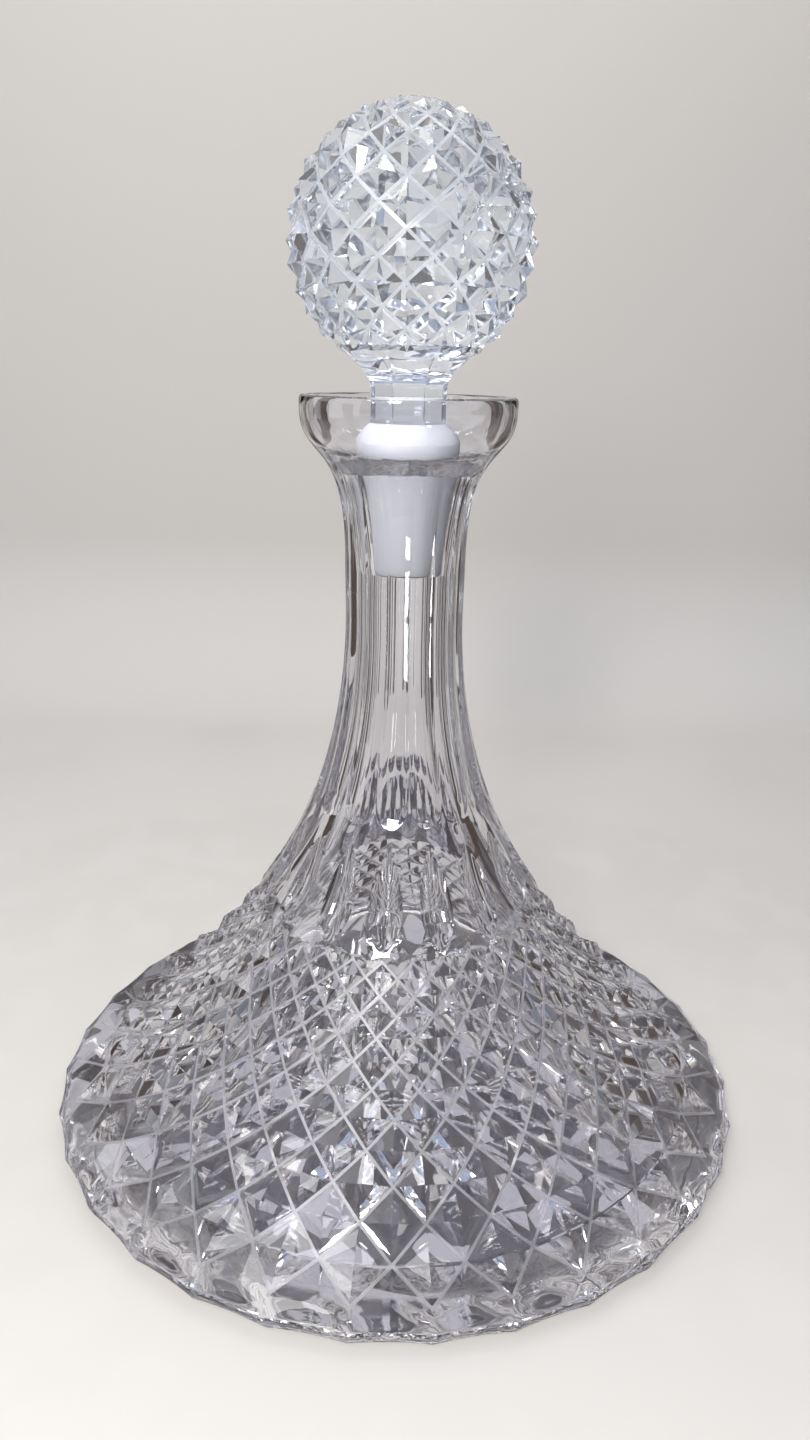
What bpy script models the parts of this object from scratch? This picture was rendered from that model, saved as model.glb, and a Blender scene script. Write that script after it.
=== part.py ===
"""Cut crystal ship's decanter: a wide flat-bottomed bottle and its ball stopper.

Metres, +Z up. The origin is the middle of the base, which stands on z = 0, and -Y is the front.
Each piece is one piece of glass, so each is one closed solid. The stopper's own origin is on the
line that it lifts along.
"""
import bmesh
import bpy
from math import cos, pi, radians, sin
from mathutils import Vector
from mathutils.geometry import interpolate_bezier

# ---- driving dimensions -------------------------------------------------------------------------
COLUMNS = 32                # diamonds round the body
FLUTES = 16                 # flutes round the neck, and leaf-shaped cuts below them on the shoulder
ROWS = 12                   # half rows of diamonds from the flutes down to the foot
FIRST_ROW_STEP = 0.0040     # slant length of the highest half row
ROW_STEP_GROWTH = 0.00045   # each half row below it is this much longer
TOP_ROW_RADIUS = 0.0410     # where the diamonds begin, below the flutes
DIAMOND_DEPTH = 0.40        # depth of the grooves, as a part of half a diamond's width
FLUTE_DEPTH = 0.055         # full depth of a flute, as a part of the radius there
# Heights, each with how deep the cuts are there as a part of their full depth: the leaves, a plain
# band above them, and then the flutes up to the cup.
CUT_DEPTHS = ((0.0640, 0), (0.0693, 0), (0.0712, 0.45), (0.0745, 0.75), (0.0785, 0.80), (0.0830, 0.55),
              (0.0865, 0.20), (0.0890, 0), (0.0935, 0), (0.0950, 0.50), (0.1000, 1), (0.1100, 1),
              (0.1250, 1), (0.1815, 1), (0.1860, 0))

BASE_RADIUS = 0.0965        # outer edge of the flat that the decanter stands on
STAR_POINTS = 32            # the star cut into the underside
STAR_WIDEST = 0.0600        # inside this radius its grooves meet in ridges
STAR_RADIUS = 0.0840        # where its points end
STAR_DEPTH = 0.0024
STAR_MIDDLE = 0.0008        # depth where the grooves meet in the middle
RIM_LOW = (0.0985, 0.0015)  # lower edge of the foot's rim: radius at a point of the scallops, height
RIM_HIGH = (0.1000, 0.0054)
SCALLOP = 0.0010            # how far the rim draws in between its points

NECK_RADIUS = 0.0157        # narrowest part of the neck, over the ridges between the flutes
NECK_LOW, NECK_HIGH = 0.146, 0.160
FLARE = ((NECK_RADIUS, NECK_LOW), (NECK_RADIUS, 0.0793), (0.0526, 0.0434), (0.0985, 0.0058))
CUP = ((0.0159, NECK_HIGH), (0.0159, 0.192), (0.0275, 0.184), (0.0275, 0.198))
HEIGHT = 0.201              # top of the cup

LIP_ROUNDING = 0.0008

CUP_INSIDE = ((0.0252, 0.2004), (0.0254, 0.1950), (0.0237, 0.1915), (0.0212, 0.1890), (0.0174, 0.1870))
MOUTH = (0.0136, 0.1855)    # where the floor of the cup meets the tapered bore
TAPER_TOP = 0.1840          # the taper that the plug sits in
TAPER_LOW = 0.1565
BORE_RADIUS = 0.0090        # below the taper
INNER_FLARE = ((BORE_RADIUS, 0.1380), (BORE_RADIUS, 0.0720), (0.0460, 0.0370), (0.0845, 0.0092))
FLOOR = 0.0070              # thickness of the base
FLOOR_CORNER = 0.0030       # how far the rounded corner of the cavity reaches in over the floor
FIT = 0.0003                # gap between the ground plug and its seat

BALL_RADIUS = 0.0305
BALL_CENTRE = 0.2360
BALL_COLUMNS = 14
BALL_ROW = radians(11)      # latitude of one half row of the ball's diamonds
BALL_ROWS_UP = 7
BALL_ROWS_DOWN = 5
BALL_TURN = radians(-2.5)   # the stopper sits this far round from square
STEM_FLATS = 8
STEM_LOW = 0.1877           # the stem begins inside the collar
STEM = ((0.0100, STEM_LOW), (0.0100, 0.2030), (0.0117, 0.2064), (0.0160, 0.2100), (0.0190, 0.2150))
COLLAR_RADIUS = 0.0133
COLLAR_LOW, COLLAR_HIGH = 0.1850, 0.1900
SHOULDER = (0.0104, 0.1937) # top of the collar's sloping shoulder
PLUG_BOTTOM = 0.1566
PLUG_ROUNDING = 0.0008      # at the plug's lower edge
PLUG_STEPS = 48

TURNED_STEPS = 64
DEPTH_AT_FOOT = {ROWS: 0.15, ROWS - 1: 0.85}    # the grooves run out on the foot


# ---- scene --------------------------------------------------------------------------------------
def clear_scene():
    for old in list(bpy.data.objects):
        bpy.data.objects.remove(old, do_unlink=True)


def make_collection(name):
    collection = bpy.data.collections.new(name)
    bpy.context.scene.collection.children.link(collection)
    return collection


def make_material(name, colour, roughness):
    """Clear glass, polished or ground matt."""
    material = bpy.data.materials.new(name)
    material.use_nodes = True
    shader = material.node_tree.nodes["Principled BSDF"]
    shader.inputs["Base Color"].default_value = (*colour, 1)
    shader.inputs["Roughness"].default_value = roughness
    shader.inputs["Metallic"].default_value = 0
    shader.inputs["IOR"].default_value = 1.54
    shader.inputs["Transmission Weight"].default_value = 1
    return material


def add_object(name, mesh_source, collection, material=None):
    """Turn a bmesh into a named object."""
    bmesh.ops.recalc_face_normals(mesh_source, faces=mesh_source.faces)
    mesh = bpy.data.meshes.new(name)
    mesh_source.to_mesh(mesh)
    mesh_source.free()
    made = bpy.data.objects.new(name, mesh)
    collection.objects.link(made)
    if material:
        mesh.materials.append(material)
    return made


# ---- curves -------------------------------------------------------------------------------------
def bezier(points, count):
    """Points (radius, height) along one Bezier arc."""
    knots = [Vector((radius, height)) for radius, height in points]
    return [tuple(point) for point in interpolate_bezier(*knots, count)]


def walk(path, distance):
    """The point of a path, and its outward normal, at a distance along it from its start."""
    for (r0, z0), (r1, z1) in zip(path, path[1:]):
        step = Vector((r1 - r0, z1 - z0))
        if distance <= step.length:
            part = distance / step.length
            normal = Vector((-step.y, step.x)).normalized()
            return Vector((r0, z0)) + part * step, normal
        distance -= step.length
    raise ValueError("the path is shorter than that")


def length_to_radius(path, radius):
    """Distance along a path to where it first reaches a radius."""
    distance = 0
    for (r0, z0), (r1, z1) in zip(path, path[1:]):
        step = Vector((r1 - r0, z1 - z0)).length
        if r1 >= radius:
            return distance + step * (radius - r0) / (r1 - r0)
        distance += step
    raise ValueError("the path doesn't reach that radius")


# ---- lofts --------------------------------------------------------------------------------------
def bridge(mesh, low, high, split_even):
    """Join two rings of equal counts with triangles.

    split_even says which way the first quad is cut in two. Where it is None the quads stay whole,
    and where it isn't, the cut changes sides with each column, as the grooves do.
    """
    count = len(low)
    for i in range(count):
        j = (i + 1) % count
        if split_even is None:
            mesh.faces.new((low[i], low[j], high[j], high[i]))
        elif (i % 2 == 0) == split_even:
            mesh.faces.new((low[i], low[j], high[j]))
            mesh.faces.new((low[i], high[j], high[i]))
        else:
            mesh.faces.new((low[i], low[j], high[i]))
            mesh.faces.new((low[j], high[j], high[i]))


def add_ring(mesh, radii, heights, turn=0.0):
    """A ring of points from the front (-Y) round to +X."""
    count = len(radii)
    ring = []
    for i, (radius, height) in enumerate(zip(radii, heights)):
        angle = 2 * pi * i / count + turn
        ring.append(mesh.verts.new((radius * sin(angle), -radius * cos(angle), height)))
    return ring


# ---- bottle -------------------------------------------------------------------------------------
def diamond_rows():
    """The rings of the cut body, from the flutes down: their radii and heights, point by point.

    Groove crossings and diamond tips take turns round each ring, and change places from row to row.
    """
    path = bezier(FLARE, 200)
    distance = length_to_radius(path, TOP_ROW_RADIUS)
    rows = []
    for row in range(ROWS + 1):
        tip, normal = walk(path, distance)
        depth = DIAMOND_DEPTH * pi * tip.x / COLUMNS * DEPTH_AT_FOOT.get(row, 1.0)
        crossing = tip - depth * normal
        crossings_first = row % 2 == 1
        ring = [crossing if (i % 2 == 0) == crossings_first else tip for i in range(2 * COLUMNS)]
        rows.append(([p.x for p in ring], [p.y for p in ring]))
        distance += FIRST_ROW_STEP + ROW_STEP_GROWTH * row
    return rows


def radius_at(path, height):
    """The radius of a path that runs downwards and outwards, at a height."""
    for (r0, z0), (r1, z1) in zip(path, path[1:]):
        if z1 <= height:
            return r0 + (r1 - r0) * (z0 - height) / (z0 - z1)
    raise ValueError("the path doesn't reach that height")


def cut_depth(height):
    """How deep the flutes or leaves are at a height, as a part of their full depth."""
    for (low, low_depth), (high, high_depth) in zip(CUT_DEPTHS, CUT_DEPTHS[1:]):
        if low <= height <= high:
            return low_depth + (high_depth - low_depth) * (height - low) / (high - low)
    return 0


def fluted_ring(radius, height):
    """One section of the neck or shoulder. The ridges stand over every second groove crossing."""
    points_per_flute = 2 * COLUMNS // FLUTES
    depth = FLUTE_DEPTH * radius * cut_depth(height)
    radii = []
    for i in range(2 * COLUMNS):
        across = ((i - 1) % points_per_flute) / points_per_flute - 0.5
        hollow = depth * (1 - 4 * across * across)
        radii.append(radius - hollow)
    return radii, [height] * len(radii)


def scalloped_ring(radius, height):
    """A section of the foot's rim, with its points under the ends of the grooves."""
    radii = [radius if i % 2 else radius - SCALLOP for i in range(2 * COLUMNS)]
    return radii, [height] * len(radii)


def round_ring(radius, height):
    return [radius] * (2 * COLUMNS), [height] * (2 * COLUMNS)


def star_cut(mesh, rim):
    """The underside inside its rim: a star of V grooves, and the flat between the star's points."""
    count = 2 * STAR_POINTS
    middle = mesh.verts.new((0, 0, STAR_MIDDLE))
    wide = add_ring(mesh, [STAR_WIDEST] * count, [0 if i % 2 else STAR_DEPTH for i in range(count)])
    tips = add_ring(mesh, [STAR_RADIUS] * STAR_POINTS, [0] * STAR_POINTS)
    for i in range(0, count, 2):
        before, after, far = i - 1, i + 1, (i + 2) % count
        tip, next_tip = tips[i // 2], tips[far // 2]
        mesh.faces.new((middle, wide[i], wide[before]))
        mesh.faces.new((middle, wide[after], wide[i]))
        mesh.faces.new((wide[before], wide[i], tip))
        mesh.faces.new((wide[i], wide[after], tip))
        mesh.faces.new((wide[after], next_tip, tip))
        mesh.faces.new((tip, rim[after], rim[i]))
        mesh.faces.new((tip, next_tip, rim[after]))
        mesh.faces.new((next_tip, rim[far], rim[after]))


def bottle_blank():
    """The outside of the bottle as a solid, from the base up."""
    mesh = bmesh.new()
    sections = [(round_ring(BASE_RADIUS, 0), None)]
    sections.append((scalloped_ring(*RIM_LOW), None))
    sections.append((scalloped_ring(*RIM_HIGH), None))
    rows = diamond_rows()
    for row in range(ROWS, -1, -1):
        sections.append((rows[row], row % 2 == 0))
    path = bezier(FLARE, 200)
    for height, _ in CUT_DEPTHS:
        if height < NECK_LOW:
            sections.append((fluted_ring(radius_at(path, height), height), None))
    sections.append((fluted_ring(NECK_RADIUS, NECK_LOW), None))
    for radius, height in bezier(CUP, 13):
        sections.append((fluted_ring(radius, height), None))
    lip_radius = CUP[-1][0]
    sections.append((round_ring(lip_radius - LIP_ROUNDING / 4, HEIGHT - LIP_ROUNDING), None))
    sections.append((round_ring(lip_radius - LIP_ROUNDING, HEIGHT), None))

    rings = [add_ring(mesh, *section) for section, _ in sections]
    for number, (low, high) in enumerate(zip(rings, rings[1:])):
        split = sections[number][1]
        last_diamond_ring = sections[number + 1][1] is None
        bridge(mesh, low, high, None if split is None or last_diamond_ring else not split)
    star_cut(mesh, rings[0])
    mesh.faces.new(rings[-1])
    return mesh


def turned(name, profile, collection, steps=TURNED_STEPS):
    """A round solid from a profile that runs from the top down, with both ends on the axis."""
    mesh = bpy.data.meshes.new(name)
    mesh.from_pydata([(radius, 0, height) for radius, height in profile],
                     [(i, i + 1) for i in range(len(profile) - 1)], [])
    made = bpy.data.objects.new(name, mesh)
    collection.objects.link(made)
    screw = made.modifiers.new("turn", "SCREW")
    screw.axis = "Z"
    screw.angle = 2 * pi
    screw.steps = steps
    screw.render_steps = steps
    screw.use_merge_vertices = True
    screw.merge_threshold = 0.00001
    return made


def hollow_profile():
    """The inside of the bottle from above the cup down: cup, tapered seat, bore and body."""
    above = HEIGHT + 0.010
    profile = [(0, above), (CUP_INSIDE[0][0], above), *CUP_INSIDE, MOUTH]
    profile += [(COLLAR_RADIUS + FIT, TAPER_TOP), (BORE_RADIUS, TAPER_LOW)]
    profile += bezier(INNER_FLARE, 16)
    end_radius, end_height = INNER_FLARE[-1]
    corner_middle = (end_radius - 0.2 * FLOOR_CORNER, FLOOR + 0.3 * (end_height - FLOOR))
    return profile + [corner_middle, (end_radius - FLOOR_CORNER, FLOOR), (0, FLOOR)]


def boolean(target, tool, operation):
    cut = target.modifiers.new(operation.lower(), "BOOLEAN")
    cut.operation = operation
    cut.solver = "EXACT"
    cut.object = tool


def make_cutter(tool):
    tool.hide_render = True
    tool.display_type = "WIRE"
    return tool


def make_bottle(parts, cutters, glass):
    bottle = add_object("bottle", bottle_blank(), parts, glass)
    hollow = make_cutter(turned("hollow_cutter", hollow_profile(), cutters))
    boolean(bottle, hollow, "DIFFERENCE")
    return bottle


# ---- stopper ------------------------------------------------------------------------------------
def ball_mesh():
    """The diamond-cut ball, closed by a point on top and a flat below inside the flare."""
    mesh = bmesh.new()
    half_width = pi / BALL_COLUMNS
    rings = []
    for row in range(-BALL_ROWS_DOWN, BALL_ROWS_UP + 1):
        latitude = row * BALL_ROW
        depth = DIAMOND_DEPTH * BALL_RADIUS * cos(latitude) * half_width
        crossing, tip = BALL_RADIUS - depth, BALL_RADIUS
        shells = [crossing if (i % 2 == 0) == (row % 2 == 0) else tip for i in range(2 * BALL_COLUMNS)]
        radii = [shell * cos(latitude) for shell in shells]
        heights = [shell * sin(latitude) for shell in shells]
        rings.append(add_ring(mesh, radii, heights, BALL_TURN))
    for number, (low, high) in enumerate(zip(rings, rings[1:])):
        row = number - BALL_ROWS_DOWN
        bridge(mesh, low, high, row % 2 == 0)
    crown = mesh.verts.new((0, 0, BALL_RADIUS))
    top = rings[-1]
    for i in range(len(top)):
        mesh.faces.new((top[i], top[(i + 1) % len(top)], crown))
    mesh.faces.new(reversed(rings[0]))
    return mesh


def stem_mesh():
    """The flare under the ball and the stem with its flats, as one loft."""
    mesh = bmesh.new()
    rings = []
    for radius, height in STEM:
        heights = [height - BALL_CENTRE] * STEM_FLATS
        rings.append(add_ring(mesh, [radius] * STEM_FLATS, heights, pi / STEM_FLATS))
    for low, high in zip(rings, rings[1:]):
        bridge(mesh, low, high, None)
    mesh.faces.new(reversed(rings[0]))
    mesh.faces.new(rings[-1])
    return mesh


def plug_profile():
    """The collar and the ground taper plug, from the top down."""
    end_radius = BORE_RADIUS - FIT
    return [(0, SHOULDER[1]), SHOULDER, (COLLAR_RADIUS, COLLAR_HIGH), (COLLAR_RADIUS, COLLAR_LOW),
            (COLLAR_RADIUS - FIT, TAPER_TOP - FIT), (end_radius, PLUG_BOTTOM + 1.5 * PLUG_ROUNDING),
            (end_radius - PLUG_ROUNDING, PLUG_BOTTOM), (0, PLUG_BOTTOM)]


def make_stopper(parts, cutters, glass, frosted):
    """Ball, stem and ground plug, joined into one solid. Its origin is the middle of the ball."""
    stopper = add_object("stopper", ball_mesh(), parts, glass)
    stopper.data.materials.append(frosted)
    stopper.location = (0, 0, BALL_CENTRE)
    stem = make_cutter(add_object("stem_tool", stem_mesh(), cutters, glass))
    stem.location = stopper.location
    plug = make_cutter(turned("plug_tool", plug_profile(), cutters, PLUG_STEPS))
    plug.data.materials.append(frosted)
    boolean(stopper, stem, "UNION")
    boolean(stopper, plug, "UNION")
    return stopper


# ---- the object ---------------------------------------------------------------------------------
def main():
    clear_scene()
    parts = make_collection("cut_crystal_decanter")
    cutters = make_collection("cutters")
    glass = make_material("clear_crystal", (0.97, 0.98, 1.0), 0.01)
    frosted = make_material("ground_crystal", (0.90, 0.91, 0.94), 0.55)
    make_bottle(parts, cutters, glass)
    make_stopper(parts, cutters, glass, frosted)


main()
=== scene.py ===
"""Looks for the cut crystal decanter: the fine cut-glass surfaces, their materials, light and camera.

Metres, +Z up, in the frame of the CAD model. Both CAD nodes are replaced by finer meshes of the same
size: the bottle with its flutes, diamonds and scalloped foot, and the stopper with its cut ball,
faceted stem and ground plug. -Y is the front.
"""

import bmesh
import bpy
from math import atan2, cos, pi, radians, sin
from mathutils import Euler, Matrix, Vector
from mathutils.geometry import interpolate_bezier


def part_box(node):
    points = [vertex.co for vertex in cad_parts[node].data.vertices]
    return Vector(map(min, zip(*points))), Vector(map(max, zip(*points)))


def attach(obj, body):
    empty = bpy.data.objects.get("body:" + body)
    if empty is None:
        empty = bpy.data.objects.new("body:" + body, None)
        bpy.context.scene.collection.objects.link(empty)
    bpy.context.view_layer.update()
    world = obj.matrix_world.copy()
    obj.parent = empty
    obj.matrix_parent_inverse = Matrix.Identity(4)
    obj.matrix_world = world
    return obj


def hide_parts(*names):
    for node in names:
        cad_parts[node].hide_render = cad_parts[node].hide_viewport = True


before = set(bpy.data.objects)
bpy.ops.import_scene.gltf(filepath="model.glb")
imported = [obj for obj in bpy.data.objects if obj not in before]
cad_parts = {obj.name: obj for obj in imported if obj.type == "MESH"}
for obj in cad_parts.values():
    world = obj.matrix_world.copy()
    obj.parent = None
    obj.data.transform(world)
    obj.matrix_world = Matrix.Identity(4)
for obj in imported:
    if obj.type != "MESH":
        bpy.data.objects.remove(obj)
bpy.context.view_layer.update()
STOPPER_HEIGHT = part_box("stopper")[1][2]
BOTTLE_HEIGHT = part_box("bottle")[1][2]

# ---- bottle: sizes ------------------------------------------------------------------------------
COLUMNS = 32                # diamonds round the body
FLUTES = 16                 # flutes round the neck and shoulder
ROWS = 12                   # half rows of diamonds
FIRST_ROW_STEP = 0.0040
ROW_STEP_GROWTH = 0.00045
TOP_ROW_RADIUS = 0.0410
DIAMOND_DEPTH = 0.40        # groove depth, as a part of half a diamond's width
DEPTH_AT_ENDS = {ROWS: 0.15, ROWS - 1: 0.85}
RIDGE_ROUNDING = 0.00020    # polished edges between facets
GROOVE_WIDTH = 0.0008       # the wheel leaves a narrow flat along each groove
BALL_GROOVE_WIDTH = 0.0009
GROOVE_FOLD = -0.35         # an edge that folds inwards more than this, in radians, is a groove

FLUTE_DEPTH = 0.034         # as a part of the radius
FLUTE_CUTS, RIDGE_CUTS = 14, 4      # strips across a flute, and across the ridge beside it
FLUTE_RING_STEP = 0.0008
NARROWEST_SPREAD = 0.35     # the strips of a flute stay at least this wide, even where it runs out
SHOULDER_GAP = 0.0012       # slant length between the diamonds and the lowest ring of the shoulder
RIDGE_ANGLE = pi / COLUMNS  # a ridge stands over every second groove crossing
# Heights, each with the width of the cuts there as a part of their share of the circle: the leaves,
# a plain band above them, and then the flutes up to the cup.
CUT_WIDTHS = ((0.0600, 0), (0.0652, 0), (0.0665, 0.24), (0.0685, 0.46), (0.0710, 0.60), (0.0740, 0.67),
              (0.0775, 0.65), (0.0810, 0.53), (0.0845, 0.33), (0.0870, 0.16), (0.0890, 0), (0.0930, 0),
              (0.0934, 0.34), (0.0943, 0.60), (0.0958, 0.80), (0.0985, 0.93), (0.1030, 0.97),
              (0.1795, 0.97), (0.1830, 0.75), (0.1855, 0), (0.2000, 0))
LEAF_DEPTH = 0.140          # as FLUTE_DEPTH, for a leaf as wide as its share of the circle
LEAF_TOP = 0.0900

BASE_RADIUS = 0.0965
RIM_LOW = (0.0985, 0.0015)
RIM_HIGH = (0.1000, 0.0054)
SCALLOP = 0.0010            # how far the rim draws in between its points
SCALLOP_CUTS = 6

NECK_RADIUS = 0.0157
NECK_LOW, NECK_HIGH = 0.146, 0.160
FLARE = ((NECK_RADIUS, NECK_LOW), (NECK_RADIUS, 0.0793), (0.0526, 0.0434), (0.0985, 0.0058))
CUP = ((0.0159, NECK_HIGH), (0.0159, 0.192), (0.0275, 0.184), (0.0275, 0.198))
CUP_INSIDE = ((0.0252, 0.1990), (0.0258, 0.1900), (0.0190, 0.1870), (0.0139, 0.1842))
MOUTH = (0.0136, 0.1839)
COLLAR_RADIUS, FIT = 0.0133, 0.0003
BORE_RADIUS, TAPER_LOW = 0.0090, 0.1565
INNER_FLARE = ((BORE_RADIUS, 0.1380), (BORE_RADIUS, 0.0720), (0.0460, 0.0370), (0.0845, 0.0092))
FLOOR = 0.0070
FLOOR_CORNER_STEPS = 6
INNER_CUTS = 128
STAR_POINTS = 32            # the star cut into the underside
STAR_WIDEST, STAR_RADIUS = 0.060, 0.084
STAR_DEPTH, STAR_MIDDLE = 0.0024, 0.0008

# ---- staged cards: sizes ------------------------------------------------------------------------
DISC_MIDDLE, DISC_RADIUS, DISC_LEVEL, DISC_CUTS = -0.09, 0.30, -0.0002, 64
# Where the patchy disc's tones of painted light and shade begin, as a part of the range of its patches, and
# the tones, which the disc glows with.
PAINTED_PATCH_TONES = ((0, (0.014, 0.008, 0.011, 1)), (0.45, (0.050, 0.045, 0.053, 1)), (0.72, (0.40, 0.39, 0.43, 1)))
# Upright strips of painted shade that the glass shows round it: degrees from the back towards +X, and width
# in degrees.
STRIPS = ((-150, 13), (-118, 13), (-88, 13), (-62, 13), (-38, 12), (-18, 7),
          (19, 9), (40, 17), (66, 18), (92, 15), (120, 13), (150, 13))
STRIP_DISTANCE, STRIP_HEIGHT = 0.34, 0.25
LEFT_CARD_X, LEFT_CARD_FRONT, LEFT_CARD_BACK = -0.45, -0.40, 0.20
LEFT_CARD_LOW, LEFT_CARD_HIGH, LEFT_CARD_GLOW = 0.12, 0.75, 2.0
SPARKLE_PLACES = ((-0.16, -0.31, 0.20), (0.16, -0.31, 0.20), (-0.22, -0.31, 0.30), (0.22, -0.31, 0.30),
                  (-0.27, -0.31, 0.38), (0.27, -0.31, 0.38), (-0.12, -0.31, 0.08), (0.12, -0.31, 0.08),
                  (-0.20, 0.16, 0.46), (0.20, 0.16, 0.46), (-0.08, -0.33, 0.52), (0.08, -0.33, 0.52))
SPARKLE_SIZE, SPARKLE_GLOW = 0.024, 22.0

# ---- studio and camera: sizes -------------------------------------------------------------------
FLOOR_LEVEL, BACKDROP_DISTANCE, BACKDROP_BEND, BEND_STEPS = -0.0005, 0.42, 0.10, 12
STUDIO_REACH = 1.6          # to each side, to the front, and up
CAMERA_PLACE = (0, -0.273, 0.2075)
CAMERA_PITCH, CAMERA_ROLL, CAMERA_YAW = radians(18.7), radians(1.17), radians(-0.15)
SENSOR_WIDTH, LENS = 24.0, 17.33
LIGHT_BOUNCES, GLOSSY_BOUNCES = 32, 16

# ---- stopper: sizes -----------------------------------------------------------------------------
BALL_RADIUS = 0.0305
BALL_CENTRE = STOPPER_HEIGHT - BALL_RADIUS
BALL_COLUMNS = 14
BALL_ROW = radians(11)
BALL_ROWS_UP, BALL_ROWS_DOWN = 7, 5
BALL_TURN = radians(-2.5)
# Sections of the stem from the ball down: radius, height, and how far it has gone from round to flat.
STEM = ((0.0182, 0.2125, 0), (0.0172, 0.2118, 0), (0.0164, 0.2108, 0), (0.0153, 0.2100, 0.2),
        (0.0143, 0.2088, 0.5), (0.0130, 0.2075, 0.8), (0.0117, 0.2064, 1), (0.0108, 0.2050, 1),
        (0.0103, 0.2035, 1), (0.0101, 0.2010, 1), (0.0101, 0.1955, 1), (0.0102, 0.1940, 1))
STEM_FLATS = 8
PLUG_TOP, PLUG_BOTTOM = 0.1937, 0.1566
PLUG_CUTS = 96

LAVENDER = (0.972, 0.965, 0.985, 1)
ICE_BLUE = (0.89, 0.935, 1.0, 1)


# ---- mesh tools ---------------------------------------------------------------------------------
def bezier(points, count):
    """Points (radius, height) along one Bezier arc."""
    knots = [Vector(point) for point in points]
    return [tuple(point) for point in interpolate_bezier(*knots, count)]


def walk(path, distance):
    """The point of a path, and its outward normal, at a distance along it. Below 0 it runs on back."""
    last = len(path) - 2
    for number, ((r0, z0), (r1, z1)) in enumerate(zip(path, path[1:])):
        step = Vector((r1 - r0, z1 - z0))
        if distance <= step.length or number == last:
            normal = Vector((-step.y, step.x)).normalized()
            return Vector((r0, z0)) + step * (distance / step.length), normal
        distance -= step.length


def length_to_radius(path, radius):
    distance = 0
    for (r0, z0), (r1, z1) in zip(path, path[1:]):
        step = Vector((r1 - r0, z1 - z0)).length
        if r1 >= radius:
            return distance + step * (radius - r0) / (r1 - r0)
        distance += step
    raise ValueError("the path doesn't reach that radius")


def polar(radius, angle, height):
    """A point at an angle from the front (-Y), turning towards +X."""
    return radius * sin(angle), -radius * cos(angle), height


def add_ring(mesh, points):
    return [mesh.verts.new(point) for point in points]


def add_round_ring(mesh, radius, height, count):
    return add_ring(mesh, [polar(radius, 2 * pi * i / count, height) for i in range(count)])


def bridge(mesh, low, high, material=0):
    """Join two rings of equal counts, low one first, with quads."""
    for i in range(len(low)):
        j = (i + 1) % len(low)
        mesh.faces.new((low[i], low[j], high[j], high[i])).material_index = material


def angle_of(vert):
    return atan2(vert.co.x, -vert.co.y) % (2 * pi)


def from_front(loop):
    """The loop, started at its smallest angle and turning towards +X."""
    start = min(range(len(loop)), key=lambda i: angle_of(loop[i]))
    loop = loop[start:] + loop[:start]
    quarter = len(loop) // 4
    return loop if angle_of(loop[quarter]) < pi else [loop[0]] + loop[:0:-1]


def stitch(mesh, low, high, material=0):
    """Join two rings of unlike counts with triangles, keeping step by angle."""
    low, high = from_front(low), from_front(high)
    angles_low = [angle_of(v) for v in low] + [2 * pi + angle_of(low[0])]
    angles_high = [angle_of(v) for v in high] + [2 * pi + angle_of(high[0])]
    i = j = 0
    while i < len(low) or j < len(high):
        a, b = low[i % len(low)], high[j % len(high)]
        take_low = j == len(high) or (i < len(low) and angles_low[i + 1] <= angles_high[j + 1])
        if take_low:
            face = mesh.faces.new((a, low[(i + 1) % len(low)], b))
            i += 1
        else:
            face = mesh.faces.new((a, high[(j + 1) % len(high)], b))
            j += 1
        face.material_index = material


def open_loops(mesh):
    """The open edge loops of a mesh, lowest first."""
    after = {}
    for edge in mesh.edges:
        if len(edge.link_faces) == 1:
            a, b = edge.verts
            after.setdefault(a, []).append(b)
            after.setdefault(b, []).append(a)
    loops, seen = [], set()
    for start in after:
        if start in seen:
            continue
        loop, here = [], start
        while here is not None:
            loop.append(here)
            seen.add(here)
            here = next((v for v in after[here] if v not in seen), None)
        loops.append(loop)
    return sorted(loops, key=lambda loop: sum(v.co.z for v in loop) / len(loop))


def cut_band(mesh, rows, rounding, groove_width, groove_material):
    """Lay a band of cut diamonds on rings of points, round its edges, and give its two open loops.

    rows run from the top down, each a list of points where groove crossings and tips take turns.
    In odd rows the first point is a crossing.
    """
    rings = [add_ring(mesh, row) for row in rows]
    for number, (high, low) in enumerate(zip(rings, rings[1:])):
        count = len(low)
        for i in range(count):
            j = (i + 1) % count
            if (i + number) % 2:        # the groove runs from high[i] down to low[j]
                mesh.faces.new((low[i], low[j], high[i]))
                mesh.faces.new((low[j], high[j], high[i]))
            else:                       # the groove runs from high[j] down to low[i]
                mesh.faces.new((low[i], low[j], high[j]))
                mesh.faces.new((low[i], high[j], high[i]))
    inner = [edge for edge in mesh.edges if len(edge.link_faces) == 2]
    ridges = [edge for edge in inner if edge.calc_face_angle_signed() > 0]
    bmesh.ops.bevel(mesh, geom=ridges, offset=rounding, offset_type="OFFSET", segments=2,
                    profile=0.5, clamp_overlap=True, affect="EDGES")
    inner = [edge for edge in mesh.edges if len(edge.link_faces) == 2]
    grooves = [edge for edge in inner if edge.calc_face_angle_signed() < GROOVE_FOLD]
    bmesh.ops.bevel(mesh, geom=grooves, offset=groove_width / 2, offset_type="OFFSET", segments=1,
                    profile=0.5, clamp_overlap=True, affect="EDGES", material=groove_material)
    low_loop, high_loop = open_loops(mesh)
    return low_loop, high_loop


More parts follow.
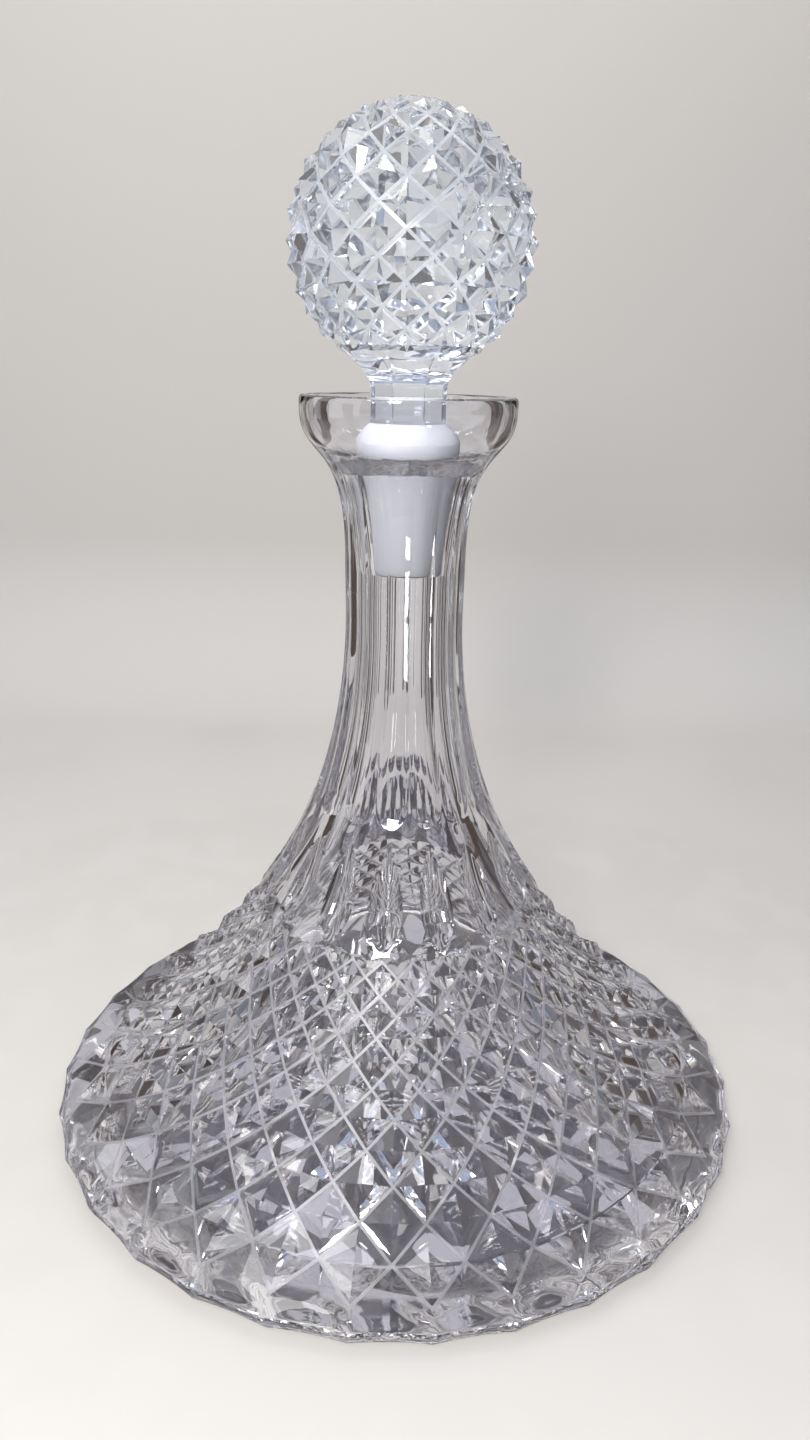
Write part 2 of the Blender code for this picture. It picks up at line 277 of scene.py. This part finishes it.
def finish_piece(name, mesh, materials, sharp_angle, flat_faces=()):
    """Turn a bmesh into an object with smooth faces and sharp edges."""
    bmesh.ops.recalc_face_normals(mesh, faces=mesh.faces)
    for edge in mesh.edges:
        edge.smooth = edge.calc_face_angle(0) < sharp_angle
    for face in mesh.faces:
        face.smooth = True
    for face in flat_faces:
        face.smooth = False
    data = bpy.data.meshes.new(name)
    mesh.to_mesh(data)
    mesh.free()
    for material in materials:
        data.materials.append(material)
    made = bpy.data.objects.new(name, data)
    bpy.context.scene.collection.objects.link(made)
    return made


# ---- bottle -------------------------------------------------------------------------------------
def body_rows(path, start):
    """The rings of the cut body, from the flutes down."""
    rows, distance = [], start
    for row in range(ROWS + 1):
        tip, normal = walk(path, distance)
        depth = DIAMOND_DEPTH * pi * tip.x / COLUMNS * DEPTH_AT_ENDS.get(row, 1.0)
        crossing = tip - depth * normal
        ring = []
        for i in range(2 * COLUMNS):
            point = crossing if (i + row) % 2 else tip
            ring.append(polar(point.x, pi * i / COLUMNS, point.y))
        rows.append(ring)
        distance += FIRST_ROW_STEP + ROW_STEP_GROWTH * row
    return rows


def cut_width(height):
    """How wide the flutes or leaves are at a height, as a part of their share of the circle."""
    for (low, low_width), (high, high_width) in zip(CUT_WIDTHS, CUT_WIDTHS[1:]):
        if low <= height < high:
            return low_width + (high_width - low_width) * (height - low) / (high - low)
    return 0


def fluted_ring(mesh, point, normal):
    """One section of the neck or shoulder, hollowed where the flutes or leaves cross it."""
    width = cut_width(point[1])
    depth = (LEAF_DEPTH if point[1] < LEAF_TOP else FLUTE_DEPTH) * point[0] * width * width
    spread = max(width, NARROWEST_SPREAD)
    points = []
    for flute in range(FLUTES):
        for i in range(FLUTE_CUTS + RIDGE_CUTS):
            if i <= FLUTE_CUTS:
                across = spread * (i / FLUTE_CUTS - 0.5)
            else:
                across = spread / 2 + (1 - spread) * (i - FLUTE_CUTS) / RIDGE_CUTS
            hollow = max(0, depth * (1 - 4 * across * across / (width * width))) if width else 0
            at = Vector(point) - hollow * normal
            angle = RIDGE_ANGLE + 2 * pi * (flute + across + 0.5) / FLUTES
            points.append(polar(at.x, angle, at.y))
    return add_ring(mesh, points)


def scalloped_ring(mesh, radius, height, dip):
    """A section of the foot, drawn in by dip between the points under the grooves."""
    points = []
    for column in range(COLUMNS):
        for cut in range(SCALLOP_CUTS):
            across = cut / SCALLOP_CUTS - 0.5
            angle = 2 * pi * (column + across) / COLUMNS
            points.append(polar(radius - dip * (1 - 4 * across * across), angle, height))
    return add_ring(mesh, points)


def foot_rings(mesh):
    """The foot from the flat base up to its rim and the smooth band above it."""
    low_radius, low_height = RIM_LOW
    high_radius, high_height = RIM_HIGH
    sections = ((BASE_RADIUS - 0.0008, 0, 0), (BASE_RADIUS, 0.0002, 0.0003),
                (low_radius - 0.0002, low_height - 0.0004, SCALLOP), (low_radius, low_height, SCALLOP),
                (high_radius - 0.0001, high_height - 0.0006, SCALLOP),
                (high_radius - 0.0003, high_height - 0.0001, SCALLOP),
                (high_radius - 0.0008, high_height + 0.0002, SCALLOP),
                (high_radius - 0.0018, high_height + 0.0009, 0.5 * SCALLOP))
    return [scalloped_ring(mesh, *section) for section in sections]


def neck_rings(mesh, path, start):
    """The shoulder with its leaves and flutes, the neck and the cup, from the bottom up."""
    rings = []
    distance = start - SHOULDER_GAP
    while distance > 0:
        rings.append(fluted_ring(mesh, *walk(path, distance)))
        distance -= FLUTE_RING_STEP
    upper = [(NECK_RADIUS, NECK_LOW), (NECK_RADIUS + 0.0001, (NECK_LOW + NECK_HIGH) / 2)]
    for point in upper + bezier(CUP, 40):
        rings.append(fluted_ring(mesh, point, Vector((1, 0))))
    return rings


def lip_sections():
    """The polished lip and the inside of the bottle, from the top of the cup down to the floor."""
    outer, inner = CUP[-1][0], CUP_INSIDE[0][0]
    top = BOTTLE_HEIGHT
    sections = [(outer, top - 0.0010), (outer - 0.0002, top - 0.0004), (outer - 0.0007, top),
                (inner + 0.0006, top), (inner + 0.0001, top - 0.0004)]
    sections += bezier(CUP_INSIDE, 20)
    sections += [(MOUTH[0] + 0.0002, MOUTH[1] + 0.0002), MOUTH, (COLLAR_RADIUS + 0.0001, 0.1830)]
    sections += [(BORE_RADIUS + 0.0001, TAPER_LOW + 0.0006), (BORE_RADIUS, TAPER_LOW - 0.0006)]
    sections += bezier(INNER_FLARE, 48)
    end_radius, end_height = INNER_FLARE[-1]
    corner = end_height - FLOOR
    for part in range(1, FLOOR_CORNER_STEPS + 1):
        turn = pi / 2 * part / FLOOR_CORNER_STEPS
        sections.append((end_radius + 0.0006 * sin(2 * turn) - 2 * corner * (1 - cos(turn)),
                         end_height - corner * sin(turn)))
    sections += [(0.060, FLOOR), (0.030, FLOOR)]
    return sections


def star_faces(mesh, rim):
    """The star cut into the underside: V grooves that meet in ridges and end in points."""
    count = 2 * STAR_POINTS
    wide = []
    for i in range(count):
        depth = 0 if i % 2 else STAR_DEPTH
        wide.append(mesh.verts.new(polar(STAR_WIDEST, 2 * pi * i / count, depth)))
    tips = [mesh.verts.new(polar(STAR_RADIUS, 2 * pi * i / STAR_POINTS, 0)) for i in range(STAR_POINTS)]
    middle = mesh.verts.new((0, 0, STAR_MIDDLE))
    faces = []
    for i in range(count):
        j = (i + 1) % count
        faces.append(mesh.faces.new((middle, wide[j], wide[i])))
        tip = tips[(i + 1) // 2 % STAR_POINTS]
        faces.append(mesh.faces.new((wide[i], wide[j], tip)))
        if i % 2:
            faces.append(mesh.faces.new((wide[i], tip, tips[(i // 2) % STAR_POINTS])))
    stitch(mesh, rim, tips)
    return faces


def make_bottle(glass, grooves):
    mesh = bmesh.new()
    path = bezier(FLARE, 400)
    start = length_to_radius(path, TOP_ROW_RADIUS)
    low_loop, high_loop = cut_band(mesh, body_rows(path, start), RIDGE_ROUNDING, GROOVE_WIDTH, 1)

    foot = foot_rings(mesh)
    for low, high in zip(foot, foot[1:]):
        bridge(mesh, low, high)
    stitch(mesh, foot[-1], low_loop)
    star = star_faces(mesh, foot[0])

    neck = neck_rings(mesh, path, start)
    stitch(mesh, high_loop, neck[0])
    for low, high in zip(neck, neck[1:]):
        bridge(mesh, low, high)

    inside = [add_round_ring(mesh, radius, height, INNER_CUTS) for radius, height in lip_sections()]
    stitch(mesh, neck[-1], inside[0])
    for high, low in zip(inside, inside[1:]):
        bridge(mesh, high, low)
    mesh.faces.new(inside[-1])
    return finish_piece("cut_bottle", mesh, [glass, grooves], radians(28), star)


# ---- stopper ------------------------------------------------------------------------------------
def ball_rows():
    """The rings of the ball's diamonds, from the top down."""
    half_width = pi / BALL_COLUMNS
    rows = []
    for row in range(BALL_ROWS_UP, -BALL_ROWS_DOWN - 1, -1):
        latitude = row * BALL_ROW
        depth = DIAMOND_DEPTH * BALL_RADIUS * cos(latitude) * half_width
        ring = []
        for i in range(2 * BALL_COLUMNS):
            shell = BALL_RADIUS - (depth if (i + row) % 2 == 0 else 0)
            angle = pi * i / BALL_COLUMNS + BALL_TURN
            ring.append(polar(shell * cos(latitude), angle, BALL_CENTRE + shell * sin(latitude)))
        rows.append(ring)
    return rows


def flat_sided_ring(mesh, radius, height, flatness):
    """A section of the stem: flatness 0 is round and 1 has its full flats."""
    points = []
    for i in range(PLUG_CUTS):
        angle = 2 * pi * i / PLUG_CUTS
        off = (angle + pi / STEM_FLATS) % (2 * pi / STEM_FLATS) - pi / STEM_FLATS
        flat = cos(pi / STEM_FLATS) / cos(off)
        points.append(polar(radius * (1 + flatness * (flat - 1)), angle, height))
    return add_ring(mesh, points)


def make_stopper(glass, frosted, grooves):
    mesh = bmesh.new()
    low_loop, high_loop = cut_band(mesh, ball_rows(), RIDGE_ROUNDING, BALL_GROOVE_WIDTH, 2)
    crown = mesh.verts.new((0, 0, STOPPER_HEIGHT))
    top = from_front(high_loop)
    for i in range(len(top)):
        mesh.faces.new((top[i], top[(i + 1) % len(top)], crown))
    rings = [flat_sided_ring(mesh, *section) for section in STEM]
    stitch(mesh, rings[0], low_loop)
    for high, low in zip(rings, rings[1:]):
        bridge(mesh, low, high)
    end = BORE_RADIUS - FIT
    plug = ((0.0104, PLUG_TOP, 0.8), (0.0119, 0.1921, 0.35), (0.0131, 0.1903, 0.05),
            (COLLAR_RADIUS, 0.1898, 0), (COLLAR_RADIUS, 0.1852, 0), (COLLAR_RADIUS - 0.0001, 0.1844, 0),
            (COLLAR_RADIUS - FIT, 0.1836, 0), (end, PLUG_BOTTOM + 0.0012, 0),
            (end - 0.0003, PLUG_BOTTOM + 0.0004, 0), (end - 0.0010, PLUG_BOTTOM, 0))
    last = rings[-1]
    for section in plug:
        ring = flat_sided_ring(mesh, *section)
        bridge(mesh, ring, last, 1)
        last = ring
    mesh.faces.new(reversed(last)).material_index = 1
    return finish_piece("cut_stopper", mesh, [glass, frosted, grooves], radians(24))


# ---- materials ----------------------------------------------------------------------------------
def new_material(name):
    material = bpy.data.materials.new(name)
    material.use_nodes = True
    tree = material.node_tree
    return material, tree, tree.nodes["Principled BSDF"]


def add_node(tree, kind, **values):
    node = tree.nodes.new(kind)
    for name, value in values.items():
        if name in node.inputs:
            node.inputs[name].default_value = value
        else:
            setattr(node, name, value)
    return node


def crystal_material(name, tint, least_rough, most_rough, clearness):
    """Polished lead crystal: clear with a breath of colour, and faint polishing marks."""
    material, tree, shader = new_material(name)
    shader.inputs["Base Color"].default_value = tint
    shader.inputs["Transmission Weight"].default_value = clearness
    shader.inputs["IOR"].default_value = 1.545
    place = add_node(tree, "ShaderNodeTexCoord")
    smears = add_node(tree, "ShaderNodeTexNoise", Scale=60.0, Detail=4.0, Roughness=0.6)
    rough = add_node(tree, "ShaderNodeMapRange")
    rough.inputs["To Min"].default_value = least_rough
    rough.inputs["To Max"].default_value = most_rough
    tree.links.new(place.outputs["Object"], smears.inputs["Vector"])
    tree.links.new(smears.outputs["Fac"], rough.inputs["Value"])
    tree.links.new(rough.outputs["Result"], shader.inputs["Roughness"])
    ripple = add_node(tree, "ShaderNodeTexNoise", Scale=140.0, Detail=2.0)
    bump = add_node(tree, "ShaderNodeBump", Strength=0.06, Distance=0.0006)
    tree.links.new(place.outputs["Object"], ripple.inputs["Vector"])
    tree.links.new(ripple.outputs["Fac"], bump.inputs["Height"])
    tree.links.new(bump.outputs["Normal"], shader.inputs["Normal"])
    let_lamps_through(tree, shader)
    return material


def let_lamps_through(tree, shader):
    """Lamps light what stands behind or inside the glass, which dims them most at its edges."""
    facing = add_node(tree, "ShaderNodeLayerWeight", Blend=0.35)
    shade = add_node(tree, "ShaderNodeValToRGB")
    shade.color_ramp.elements[0].color = (0.97, 0.97, 0.98, 1)
    shade.color_ramp.elements[1].color = (0.55, 0.55, 0.58, 1)
    clear = add_node(tree, "ShaderNodeBsdfTransparent")
    path = add_node(tree, "ShaderNodeLightPath")
    mix = add_node(tree, "ShaderNodeMixShader")
    tree.links.new(facing.outputs["Facing"], shade.inputs["Fac"])
    tree.links.new(shade.outputs["Color"], clear.inputs["Color"])
    tree.links.new(path.outputs["Is Shadow Ray"], mix.inputs["Fac"])
    tree.links.new(shader.outputs["BSDF"], mix.inputs[1])
    tree.links.new(clear.outputs["BSDF"], mix.inputs[2])
    tree.links.new(mix.outputs["Shader"], tree.nodes["Material Output"].inputs["Surface"])


def frosted_material():
    """Glass ground matt: white and fine-grained, with a little light let through."""
    material, tree, shader = new_material("ground_crystal")
    shader.inputs["Transmission Weight"].default_value = 0.05
    shader.inputs["IOR"].default_value = 1.5
    shader.inputs["Subsurface Weight"].default_value = 0.7
    shader.inputs["Subsurface Radius"].default_value = (1, 1, 1)
    shader.inputs["Subsurface Scale"].default_value = 0.008
    place = add_node(tree, "ShaderNodeTexCoord")
    cloud = add_node(tree, "ShaderNodeTexNoise", Scale=90.0, Detail=5.0)
    tint = add_node(tree, "ShaderNodeValToRGB")
    tint.color_ramp.elements[0].color = (0.76, 0.78, 0.83, 1)
    tint.color_ramp.elements[1].color = (0.81, 0.83, 0.87, 1)
    tree.links.new(place.outputs["Object"], cloud.inputs["Vector"])
    tree.links.new(cloud.outputs["Fac"], tint.inputs["Fac"])
    tree.links.new(tint.outputs["Color"], shader.inputs["Base Color"])
    rough = add_node(tree, "ShaderNodeMapRange")
    rough.inputs["To Min"].default_value = 0.55
    rough.inputs["To Max"].default_value = 0.75
    tree.links.new(cloud.outputs["Fac"], rough.inputs["Value"])
    tree.links.new(rough.outputs["Result"], shader.inputs["Roughness"])
    grain = add_node(tree, "ShaderNodeTexNoise", Scale=2500.0, Detail=3.0)
    bump = add_node(tree, "ShaderNodeBump", Strength=0.5, Distance=0.0001)
    tree.links.new(place.outputs["Object"], grain.inputs["Vector"])
    tree.links.new(grain.outputs["Fac"], bump.inputs["Height"])
    tree.links.new(bump.outputs["Normal"], shader.inputs["Normal"])
    return material


def floor_material():
    material, _, shader = new_material("studio_floor")
    shader.inputs["Base Color"].default_value = (0.60, 0.575, 0.535, 1)
    shader.inputs["Roughness"].default_value = 0.7
    return material


# ---- studio -------------------------------------------------------------------------------------
def make_studio():
    """A pale floor that curves up into a pale backdrop, and soft lights."""
    mesh = bmesh.new()
    bend_start = BACKDROP_DISTANCE - BACKDROP_BEND
    bend_middle = FLOOR_LEVEL + BACKDROP_BEND
    profile = [(-STUDIO_REACH, FLOOR_LEVEL), (bend_start, FLOOR_LEVEL)]
    for part in range(1, BEND_STEPS + 1):
        turn = pi / 2 * part / BEND_STEPS
        profile.append((bend_start + BACKDROP_BEND * sin(turn), bend_middle - BACKDROP_BEND * cos(turn)))
    profile.append((BACKDROP_DISTANCE, STUDIO_REACH))
    sides = [[mesh.verts.new((x, y, z)) for y, z in profile] for x in (STUDIO_REACH, -STUDIO_REACH)]
    for i in range(len(profile) - 1):
        mesh.faces.new((sides[0][i], sides[0][i + 1], sides[1][i + 1], sides[1][i]))
    sweep = finish_piece("studio_sweep", mesh, [floor_material()], radians(30))

    make_world()
    make_cards()
    make_bright_cards()
    body, backdrop = (0, 0, 0.1), (0, BACKDROP_DISTANCE, 0.10)
    add_area_light("softbox", (-0.42, -0.38, 0.75), (0.40, 0.30), 2.2, (1.0, 0.99, 0.98), body)
    add_area_light("wall_wash", (0, 0.16, 0.85), (0.9, 0.12), 2.6, (1.0, 0.95, 0.89), backdrop)
    add_area_light("flash", (-0.10, -0.42, 0.36), (0.09, 0.09), 2.4, (1.0, 0.98, 0.96), body)


def make_world():
    """A pale room, which the glass sees as dim below and pale blue above."""
    world = bpy.data.worlds.new("studio")
    bpy.context.scene.world = world
    world.use_nodes = True
    tree = world.node_tree
    place = add_node(tree, "ShaderNodeTexCoord")
    split = add_node(tree, "ShaderNodeSeparateXYZ")
    sky = add_node(tree, "ShaderNodeValToRGB")
    sky.color_ramp.elements[0].color = (0.05, 0.05, 0.065, 1)
    sky.color_ramp.elements[1].position = 0.7
    sky.color_ramp.elements[1].color = (0.42, 0.49, 0.64, 1)
    path = add_node(tree, "ShaderNodeLightPath")
    seen = add_node(tree, "ShaderNodeMix", data_type="RGBA")
    seen.inputs["B"].default_value = (0.60, 0.59, 0.57, 1)
    tree.links.new(place.outputs["Generated"], split.inputs["Vector"])
    tree.links.new(split.outputs["Z"], sky.inputs["Fac"])
    tree.links.new(path.outputs["Is Camera Ray"], seen.inputs["Factor"])
    tree.links.new(sky.outputs["Color"], seen.inputs["A"])
    tree.links.new(seen.outputs["Result"], tree.nodes["Background"].inputs["Color"])


def make_cards():
    """A disc under the glass that glows with patches of painted light and shade, and strips of painted shade
    round it, for its facets and edges to show.
    """
    mesh = bmesh.new()
    disc = [polar(DISC_RADIUS, 2 * pi * i / DISC_CUTS, DISC_LEVEL) for i in range(DISC_CUTS)]
    mesh.faces.new(add_ring(mesh, [(x, y + DISC_MIDDLE, z) for x, y, z in disc]))
    for turn, width in STRIPS:
        edges = [radians(180 - turn + across * width) for across in (-0.5, 0.5)]
        corners = [polar(STRIP_DISTANCE, angle, 0) for angle in edges]
        corners += [polar(STRIP_DISTANCE, angle, STRIP_HEIGHT) for angle in reversed(edges)]
        mesh.faces.new(add_ring(mesh, corners))
    material, _, shader = new_material("painted_shade_card")
    # painted shade: a warm dark brown, for the shadows of the room and wall that the glass shows
    shader.inputs["Base Color"].default_value = (0.045, 0.026, 0.016, 1)
    shader.inputs["Roughness"].default_value = 0.5
    cards = finish_piece("painted_light_shade_cards", mesh, [material, painted_patch_material()], radians(30))
    cards.data.polygons[0].material_index = 1
    hide_card(cards)


def make_bright_cards():
    """A bright card on the left that only reflections show, and small cards that make sparkles."""
    mesh = bmesh.new()
    left = [(LEFT_CARD_X, y, LEFT_CARD_LOW) for y in (LEFT_CARD_FRONT, LEFT_CARD_BACK)]
    left += [(LEFT_CARD_X, y, LEFT_CARD_HIGH) for y in (LEFT_CARD_BACK, LEFT_CARD_FRONT)]
    mesh.faces.new(add_ring(mesh, left))
    glow = glow_material("bright_card", LEFT_CARD_GLOW)
    cards = finish_piece("bright_cards", mesh, [glow], radians(30))
    cards.visible_transmission = False
    hide_card(cards)

    mesh = bmesh.new()
    for x, y, z in SPARKLE_PLACES:
        corners = [(x + a * SPARKLE_SIZE, y, z + b * SPARKLE_SIZE)
                   for a, b in ((-0.5, -0.5), (0.5, -0.5), (0.5, 0.5), (-0.5, 0.5))]
        mesh.faces.new(add_ring(mesh, corners))
    glow = glow_material("sparkle_card", SPARKLE_GLOW)
    hide_card(finish_piece("sparkle_cards", mesh, [glow], radians(30)))


def hide_card(card):
    """Stage a card that only the glass shows."""
    card.visible_camera = False
    card.visible_diffuse = False
    card.visible_shadow = False


def glow_material(name, strength):
    material, _, shader = new_material(name)
    shader.inputs["Base Color"].default_value = (0, 0, 0, 1)
    shader.inputs["Emission Color"].default_value = (0.93, 0.95, 1.0, 1)
    shader.inputs["Emission Strength"].default_value = strength
    material.cycles.emission_sampling = "NONE"
    return material


def painted_patch_material():
    """A glowing disc, no lamp, in place of a table top: patches of painted light and shade for the facets to
    pick from as painted reflections.
    """
    material, tree, shader = new_material("painted_light_patches")
    shader.inputs["Base Color"].default_value = (0.02, 0.02, 0.02, 1)
    # the disc glows: its patches are painted light and shade, not lit by the lamps
    shader.inputs["Emission Strength"].default_value = 1.0
    material.cycles.emission_sampling = "NONE"
    place = add_node(tree, "ShaderNodeTexCoord")
    patches = add_node(tree, "ShaderNodeTexVoronoi", Scale=75.0)
    split = add_node(tree, "ShaderNodeSeparateXYZ")
    tone = add_node(tree, "ShaderNodeValToRGB")
    tone.color_ramp.interpolation = "CONSTANT"
    tone.color_ramp.elements.new(0.5)
    for element, (start, colour) in zip(tone.color_ramp.elements, PAINTED_PATCH_TONES):
        element.position = start
        element.color = colour
    tree.links.new(place.outputs["Object"], patches.inputs["Vector"])
    tree.links.new(patches.outputs["Color"], split.inputs["Vector"])
    tree.links.new(split.outputs["X"], tone.inputs["Fac"])
    tree.links.new(tone.outputs["Color"], shader.inputs["Emission Color"])
    return material


def add_area_light(name, place, size, power, colour, target):
    data = bpy.data.lights.new(name, "AREA")
    data.shape = "RECTANGLE"
    data.size, data.size_y = size
    data.energy = power
    data.color = colour
    light = bpy.data.objects.new(name, data)
    light.location = place
    light.rotation_euler = (Vector(target) - Vector(place)).to_track_quat("-Z", "Y").to_euler()
    bpy.context.scene.collection.objects.link(light)


def make_camera():
    """Close and a little above, looking down at the decanter, with the slight roll of a hand."""
    data = bpy.data.cameras.new("camera")
    data.sensor_width = SENSOR_WIDTH
    data.lens = LENS
    data.clip_start = 0.01
    camera = bpy.data.objects.new("camera", data)
    camera.location = CAMERA_PLACE
    aim = Euler((pi / 2 - CAMERA_PITCH, 0, CAMERA_YAW)).to_matrix()
    turn = aim @ Euler((0, 0, CAMERA_ROLL)).to_matrix()
    camera.rotation_euler = turn.to_euler()
    bpy.context.scene.collection.objects.link(camera)
    bpy.context.scene.camera = camera


def main():
    glass = crystal_material("clear_crystal", LAVENDER, 0.0, 0.035, 1.0)
    grooves = crystal_material("groove_crystal", LAVENDER, 0.40, 0.50, 0.94)
    bottle = make_bottle(glass, grooves)
    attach(bottle, "bottle_body")
    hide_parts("bottle")
    ball_glass = crystal_material("blue_crystal", ICE_BLUE, 0.0, 0.035, 0.95)
    ball_grooves = crystal_material("blue_groove_crystal", ICE_BLUE, 0.28, 0.36, 0.85)
    stopper = make_stopper(ball_glass, frosted_material(), ball_grooves)
    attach(stopper, "stopper_body")
    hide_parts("stopper")
    make_studio()
    make_camera()
    cycles = bpy.context.scene.cycles
    cycles.max_bounces = LIGHT_BOUNCES
    cycles.transmission_bounces = LIGHT_BOUNCES
    cycles.glossy_bounces = GLOSSY_BOUNCES
    cycles.caustics_reflective = False
    cycles.caustics_refractive = False
    bpy.context.scene.view_settings.view_transform = "Standard"


main()
